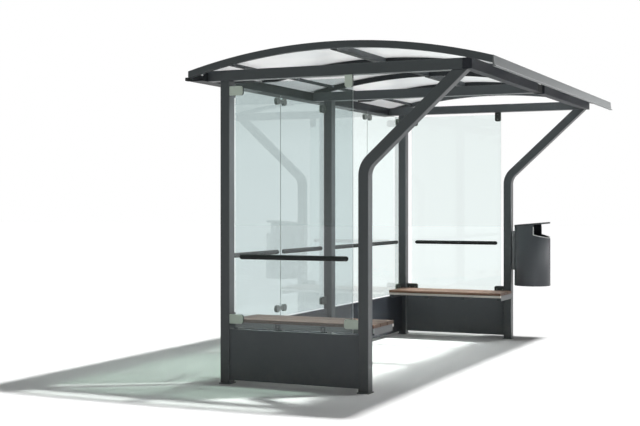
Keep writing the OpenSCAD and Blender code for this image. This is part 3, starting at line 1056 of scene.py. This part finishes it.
@dataclass
class Roof:
    """Barrel-vault roof with ribs, purlins, clear sheets, gutter and fascia."""

    shop: Workshop
    cover_width: float = 0.052
    cover_thickness: float = 0.0025
    screw_pitch: float = 0.25
    screw_radius: float = 0.006
    screw_height: float = 0.0016
    arc_steps: int = 64

    def __post_init__(self) -> None:
        """Works the roof's arc out from the gable rib and the fascia."""
        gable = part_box("gable_rib_far")[1]
        rise = gable.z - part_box("front_fascia")[1].z
        radius = (gable.y ** 2 + rise ** 2) / (2 * rise)
        self.tip = gable.y
        self.centre_z = gable.z - radius
        self.sheet_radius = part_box("roof_panel_1")[1].z - self.centre_z

    def on_arc(self, radius: float, x: float, y: float) -> Vector:
        """Gives the point at x and y on the arc with the given radius."""
        return Vector((x, y, self.centre_z + math.sqrt(radius ** 2 - y ** 2)))

    def _joint_xs(self) -> list[float]:
        """Places of the joints between the sheets."""
        sheets = [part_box(f"roof_panel_{number}") for number in range(1, 5)]
        return [(left[1].x + right[0].x) / 2 for left, right in zip(sheets, sheets[1:])]

    def _joint_covers(self, bm: bmesh.types.BMesh) -> None:
        """Draws the flat bars that press the sheets onto the ribs."""
        for middle in self._joint_xs():
            rings = []
            for step in range(self.arc_steps + 1):
                y = self.tip * (2 * step / self.arc_steps - 1) * 0.999
                ring = []
                for radius, side in ((0, -1), (0, 1), (self.cover_thickness, 1), (self.cover_thickness, -1)):
                    spot = self.on_arc(self.sheet_radius + radius, middle + side * self.cover_width / 2, y)
                    ring.append(bm.verts.new(spot))
                rings.append(ring)
            Draw.skin(bm, rings)

    def _cover_screws(self, bm: bmesh.types.BMesh) -> None:
        """Draws the screws along the joint covers."""
        count = int(self.tip / self.screw_pitch)
        for middle in self._joint_xs():
            for number in range(-count, count):
                y = (number + 0.5) * self.screw_pitch
                spot = self.on_arc(self.sheet_radius + self.cover_thickness, middle, y)
                lean = Matrix.Rotation(-math.asin(y / self.sheet_radius), 4, "X")
                Draw.screw(bm, Matrix.Translation(spot) @ lean, self.screw_radius, self.screw_height)

    def build(self, paints: Paints) -> None:
        """Dresses the roof.

        Args:
            paints: the materials.
        """
        # Ribs and purlins wear the darker copy of the anthracite (painted shade); the gables keep the roof coat.
        for node in ("gable_rib_near", "gable_rib_far", "roof_ribs", "mid_purlin", "rear_purlin"):
            self.shop.dress(node, paints.roof_frame if "gable" in node else paints.rib, 0.003)
        for number in range(1, 5):
            self.shop.dress(f"roof_panel_{number}", paints.roof_glass)
        # The gutter also wears the darker copy of the anthracite: painted shade.
        self.shop.dress("rear_gutter", paints.rib, 0.001)
        self.shop.dress("gutter_end_caps", paints.plastic, 0.003)
        # The fascia's lighter grey is a painted reflection.
        self.shop.dress("front_fascia", paints.fascia, 0.001)
        self.shop.piece("roof_joint_covers", self._joint_covers, [paints.roof_frame], "frame_paint", 0.0008)
        self.shop.piece("roof_cover_screws", self._cover_screws, [paints.fitting], "fitting_metal")


@dataclass
class Walls:
    """Glass panes, their clamps and handrails, and the steel panels below."""

    shop: Workshop
    seal_inset: float = 0.001

    def build(self, paints: Paints) -> None:
        """Dresses the walls.

        Args:
            paints: the materials.
        """
        panes = ["end_glass_near", "end_glass_far"] + [f"rear_glass_{number}" for number in range(1, 5)]
        for node in panes:
            glass = paints.near_glass if node == "end_glass_near" else paints.wall_glass
            low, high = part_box(node)
            across = Along.X if high.x - low.x < high.y - low.y else Along.Y
            self.shop.dress_parts(
                node, glass, paints.glass_edge, lambda face, n=across.value: abs(face.normal[n]) > 0.5
            )
        for node in ("end_panel_near", "end_panel_far", "rear_panel_1", "rear_panel_2"):
            self.shop.dress(node, paints.rear_sheet if "rear" in node else paints.sheet, 0.003)
        Clamps(self.shop, "end_glass_clamps", "end_glass_far", Along.X).build(paints)
        Clamps(self.shop, "rear_glass_clamps", "rear_glass_3", Along.Y).build(paints)
        self.shop.piece("pane_seals", self._seals, [paints.seal], "safety_glass")
        self.shop.dress("patch_fittings", paints.fitting, 0.002)
        for node in ("end_handrails", "rear_handrails"):
            self.shop.dress(node, paints.rail)

    def _seals(self, bm: bmesh.types.BMesh) -> None:
        """Draws the clear seal in each joint between two rear panes."""
        for first, second in ((1, 2), (3, 4)):
            left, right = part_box(f"rear_glass_{first}"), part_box(f"rear_glass_{second}")
            size = Vector((right[0].x - left[1].x, left[1].y - left[0].y - 2 * self.seal_inset))
            middle = Vector(((right[0].x + left[1].x) / 2, (left[0].y + left[1].y) / 2, 0.0))
            outline = Draw.rounded(size.x, size.y, (self.seal_inset,) * 4, 2)
            Draw.slab(bm, outline, Matrix.Translation(middle), left[0].z, left[1].z)


@dataclass
class Clamps:
    """Two-part glass clamps: pale covers outside, dark ones inside, with gaskets and screws."""

    shop: Workshop
    node: str
    pane: str
    across: Along
    free_corner: float = 0.019
    post_corner: float = 0.003
    gasket: float = 0.001
    gasket_inset: float = 0.002
    edge: float = 0.0018
    screw_radius: float = 0.0065
    screw_height: float = 0.0035
    screw_share: float = 0.27

    def build(self, paints: Paints) -> None:
        """Makes the covers, gaskets and screws of every clamp of the node.

        Args:
            paints: the materials.
        """
        stem = self.node.replace("_glass_clamps", "_clamp")
        covers = self.shop.piece(
            f"{stem}_outer_covers", lambda bm: self._covers(bm, True), [paints.clamp_pale], "clamp_metal",
            self.edge,
        )
        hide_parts(self.node)
        self.shop.piece(
            f"{stem}_inner_covers", lambda bm: self._covers(bm, False), [paints.clamp], "clamp_metal", self.edge
        )
        self.shop.piece(f"{stem}_gaskets", self._gaskets, [paints.plastic], "black_plastic")
        self.shop.piece(f"{stem}_screws", self._screws, [paints.fitting], "fitting_metal")

    def _frames(self) -> Iterable[tuple[Matrix, Vector, bool, float]]:
        """Gives each clamp's axes, size, whether it hangs, and the side on which its post stands."""
        n = self.across.value
        u = 1 - n
        posts = [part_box(name) for name in frame["nodes"] if "_post_" in name]
        for low, high in solid_boxes(self.node):
            middle = (low + high) / 2
            size = high - low
            hangs = size.z > size[u]
            post_low, post_high = min(
                posts, key=lambda box: abs((box[0][u] + box[1][u]) / 2 - middle[u]) + abs(box[0].x - low.x)
            )
            side = 1.0 if (post_low[u] + post_high[u]) / 2 > middle[u] else -1.0
            outward = 1.0 if self.across is Along.Y or middle.x > 0 else -1.0
            axes = Matrix.Identity(4)
            axes.col[0] = (1.0 - u, float(u), 0.0, 0.0)
            axes.col[1] = (0.0, 0.0, 1.0, 0.0)
            axes.col[2] = (outward * (1.0 - n), outward * n, 0.0, 0.0)
            axes.translation = middle
            yield axes, Vector((size[u], size.z, size[n])), hangs, side

    def _outline(self, size: Vector, hangs: bool, side: float, inset: float = 0.0) -> list[Vector]:
        """Draws a cover's outline, with its large corners away from the post or beam."""
        free, held = self.free_corner, self.post_corner
        if hangs:
            radii = (held, held, free, free)
        else:
            radii = (held, free, free, held) if side > 0 else (free, held, held, free)
        return Draw.rounded(size.x - inset, size.y - inset, radii)

    def _glass_half(self) -> float:
        """Half of the pane's thickness."""
        low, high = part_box(self.pane)
        return (high - low)[self.across.value] / 2

    def _covers(self, bm: bmesh.types.BMesh, outer: bool) -> None:
        """Draws the outer or the inner covers."""
        start = self._glass_half() + self.gasket
        for axes, size, hangs, side in self._frames():
            outline = self._outline(size, hangs, side)
            if outer:
                Draw.slab(bm, outline, axes, start, size.z / 2)
            else:
                Draw.slab(bm, outline, axes, -size.z / 2, -start)

    def _gaskets(self, bm: bmesh.types.BMesh) -> None:
        """Draws the rubber between covers and pane, and the core beside the pane's edge."""
        glass = self._glass_half()
        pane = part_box(self.pane)
        for axes, size, hangs, side in self._frames():
            outline = self._outline(size, hangs, side, self.gasket_inset)
            Draw.slab(bm, outline, axes, glass, glass + self.gasket)
            Draw.slab(bm, outline, axes, -glass - self.gasket, -glass)
            if hangs:
                depth = axes.translation.z + size.y / 2 - pane[1].z
                centre = Vector((0.0, size.y / 2 - depth / 2))
                block = Draw.rounded(size.x - self.gasket_inset, depth - self.gasket_inset, (self.gasket,) * 4)
            else:
                depth = self._gap()
                centre = Vector((side * (size.x / 2 - depth / 2), 0.0))
                block = Draw.rounded(depth - self.gasket_inset, size.y - self.gasket_inset, (self.gasket,) * 4)
            Draw.slab(bm, [point + centre for point in block], axes, -glass, glass)

    def _gap(self) -> float:
        """Gap between a post and the edge of the pane."""
        if self.across is Along.X:
            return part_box("rear_post_far")[0].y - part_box(self.pane)[1].y
        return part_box(self.pane)[0].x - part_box("rear_post_middle")[1].x

    def _screws(self, bm: bmesh.types.BMesh) -> None:
        """Draws the screws on the inner covers."""
        for axes, size, hangs, side in self._frames():
            length = size.y if hangs else size.x
            for share in (-self.screw_share, self.screw_share):
                spot = Vector((0.0, share * length, 0.0)) if hangs else Vector((share * length, 0.0, 0.0))
                flip = Matrix.Rotation(math.pi, 4, "X")
                place = axes @ Matrix.Translation(spot - Vector((0.0, 0.0, size.z / 2))) @ flip
                Draw.screw(bm, place, self.screw_radius, self.screw_height)


@dataclass
class LitterBin:
    """Round bin on the far front post."""

    shop: Workshop
    rim_height: float = 1.038
    rim_slope: float = 14.0
    hood_reach: float = 0.051
    wall: float = 0.004
    highlight_radius: float = 0.0045
    highlight_steps: int = 24

    def _draw_rim_highlight(self, bm: bmesh.types.BMesh) -> None:
        """Draws a pale tube down from the lid, round the opening and up to the lid again: a painted highlight
        along the bin's rim.
        """
        low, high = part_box("bin_body")
        middle = (low + high) / 2
        radius = (high.x - low.x - self.wall) / 2
        turn = math.acos(self.hood_reach / radius)
        slope = math.tan(math.radians(self.rim_slope))
        points = []
        for step in range(-self.highlight_steps, self.highlight_steps + 1):
            angle = turn * step / self.highlight_steps
            ahead = radius * math.cos(angle)
            height = self.rim_height + (radius + self.wall / 2 - ahead) * slope
            points.append(Vector((middle.x + radius * math.sin(angle), middle.y - ahead, height)))
        under_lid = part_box("bin_lid")[0].z
        start, end = (Vector((point.x, point.y, under_lid)) for point in (points[0], points[-1]))
        Draw.tube(bm, [start, *points, end], self.highlight_radius)

    def build(self, paints: Paints) -> None:
        """Dresses the bin.

        Args:
            paints: the materials.
        """
        self.shop.dress("bin_body", paints.bin, 0.0012)
        self.shop.dress("bin_lid", paints.bin_trim, 0.0025)
        # The bracket's lighter paint is painted light.
        self.shop.dress("bin_bracket", paints.bracket, 0.002)
        # Painted highlight: a pale tube along the rim of the opening.
        self.shop.piece("bin_rim_highlight", self._draw_rim_highlight, [paints.rim_highlight_paint], "bin_trim_paint")


@dataclass
class Studio:
    """Pale floor, a soft key lamp, a bright surround and the camera."""

    floor_half: float = 60.0
    eye: Vector = field(default_factory=lambda: Vector((-9.863, -3.484, 1.378)))
    heading: float = -65.35
    lens: float = 66.17
    shift_y: float = -0.01356
    key_place: Vector = field(default_factory=lambda: Vector((1.64, -4.4, 12.5)))
    key_size: float = 0.7
    key_power: float = 3400.0
    floor_under_key: float = 0.42
    soft_light: float = 0.16
    near_trees: Colour = (0.28, 0.36, 0.31)
    street_low: float = 1.35
    street_high: float = 0.15
    side_glow: float = 10.0
    skyline: tuple[float, float] = (0.05, 0.11)

    def floor(self) -> None:
        """Lays a floor that stays evenly white around the shelter and out to the horizon."""
        mesh = bpy.data.meshes.new("floor")
        half = self.floor_half
        ends = [(-half, -half, 0), (half, -half, 0), (half, half, 0), (-half, half, 0)]
        mesh.from_pydata(ends, [], [(0, 1, 2, 3)])
        floor = bpy.data.objects.new("floor", mesh)
        bpy.context.scene.collection.objects.link(floor)
        finish = Finish("Pale floor")
        sheet = finish.sheet
        where = sheet.add("TexCoord").outputs["Object"]
        under = (self.key_place.x, self.key_place.y, 0.0)
        away = sheet.add("VectorMath", {0: where, 1: under}, operation="DISTANCE").outputs["Value"]
        slant = sheet.maths("ADD", sheet.maths("POWER", sheet.maths("DIVIDE", away, self.key_place.z), 2.0), 1.0)
        wanted = sheet.maths("MULTIPLY", sheet.maths("POWER", slant, 2.0), self.floor_under_key)
        pale = sheet.maths("MINIMUM", wanted, 0.9)
        tone = sheet.maths("MULTIPLY", pale, sheet.fit(sheet.noise(where, 1.5, 3.0), 0.3, 0.7, 0.985, 1.0))
        finish.feed("Base Color", sheet.add("CombineColor", {0: tone, 1: tone, 2: tone}).outputs[0])
        sun = self.floor_under_key * self.key_power / (math.pi * self.key_place.z) ** 2
        lit = sheet.maths("MULTIPLY", sheet.maths("DIVIDE", pale, wanted), sun)
        filled = sheet.maths("ADD", lit, sheet.maths("MULTIPLY", pale, self.soft_light))
        glow = sheet.maths("SUBTRACT", 1.01, filled, True)
        finish.feed("Emission Color", sheet.add("CombineColor", {0: glow, 1: glow, 2: glow}).outputs[0])
        finish.constant(roughness=0.8, specular_ior_level=0.0, emission_strength=1.0)
        mesh.materials.append(finish.material)

    def surround(self) -> None:
        """Makes the world: white to the eye, weak as fill light, and graded where surfaces mirror it."""
        world = bpy.data.worlds.new("Studio")
        bpy.context.scene.world = world
        world.use_nodes = True
        sheet = NodeSheet(world.node_tree)
        world.node_tree.nodes.clear()
        way = sheet.add("SeparateXYZ", {0: sheet.add("TexCoord").outputs["Generated"]})
        ahead = sheet.fit(way.outputs["X"], -0.6, 0.4)
        ahead = sheet.maths("MAXIMUM", ahead, sheet.fit(way.outputs["Z"], 0.0, 0.12, 0.6, 0.0))
        low = sheet.fit(way.outputs["Z"], *self.skyline, self.street_low - 1.0, self.street_high - 1.0)
        street = sheet.maths("ADD", 1.0, sheet.maths("MULTIPLY", sheet.fit(way.outputs["Y"], -0.1, -0.5), low))
        side = sheet.maths(
            "MULTIPLY",
            sheet.fit(way.outputs["Y"], -0.62, -0.8),
            sheet.fit(way.outputs["Z"], *self.skyline, self.side_glow, 0.0),
        )
        street = sheet.maths("ADD", street, side)
        path = sheet.add("LightPath").outputs
        mirrored = sheet.maths("MINIMUM", path["Glossy Depth"], 1.0)
        colour = sheet.blend(mirrored, WHITE, sheet.blend(ahead, self.near_trees, WHITE))
        plain = sheet.add("Mix", {0: mirrored, 2: 1.0, 3: street}, data_type="FLOAT").outputs[0]
        level = sheet.add("Mix", {0: path["Is Diffuse Ray"], 2: plain, 3: self.soft_light}, data_type="FLOAT")
        back = sheet.add("Background", {"Color": colour, "Strength": level.outputs[0]})
        sheet.add("OutputWorld", {"Surface": back.outputs[0]})

    def lamp(self) -> None:
        """Hangs the key lamp high over the street side."""
        lamp = bpy.data.lights.new("Key lamp", "AREA")
        lamp.shape = "DISK"
        lamp.size = self.key_size
        lamp.energy = self.key_power
        holder = bpy.data.objects.new("Key lamp", lamp)
        bpy.context.scene.collection.objects.link(holder)
        holder.location = self.key_place

    def camera(self) -> None:
        """Stands the camera at eye height off the near end."""
        lens = bpy.data.cameras.new("Camera")
        lens.sensor_width = 36.0
        lens.lens = self.lens
        lens.shift_y = self.shift_y
        lens.clip_end = 300.0
        camera = bpy.data.objects.new("Camera", lens)
        bpy.context.scene.collection.objects.link(camera)
        camera.location = self.eye
        camera.rotation_euler = (math.radians(90.0), 0.0, math.radians(self.heading))
        bpy.context.scene.camera = camera

    def build(self) -> None:
        """Sets the whole studio up."""
        self.floor()
        self.surround()
        self.lamp()
        self.camera()
        view = bpy.context.scene.view_settings
        view.view_transform = "Standard"
        view.look = "None"


def main() -> None:
    """Builds and dresses every part of the shelter and its studio."""
    logging.basicConfig(level=logging.INFO, format="%(name)s: %(message)s")
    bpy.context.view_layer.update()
    shop = Workshop(frame["nodes"])
    benches = Benches(shop)
    paints = Paints(Effects(), benches)
    for part in (SteelFrame(shop), Roof(shop), Walls(shop), benches, LitterBin(shop)):
        part.build(paints)
    Studio().build()


if __name__ == "__main__":
    main()
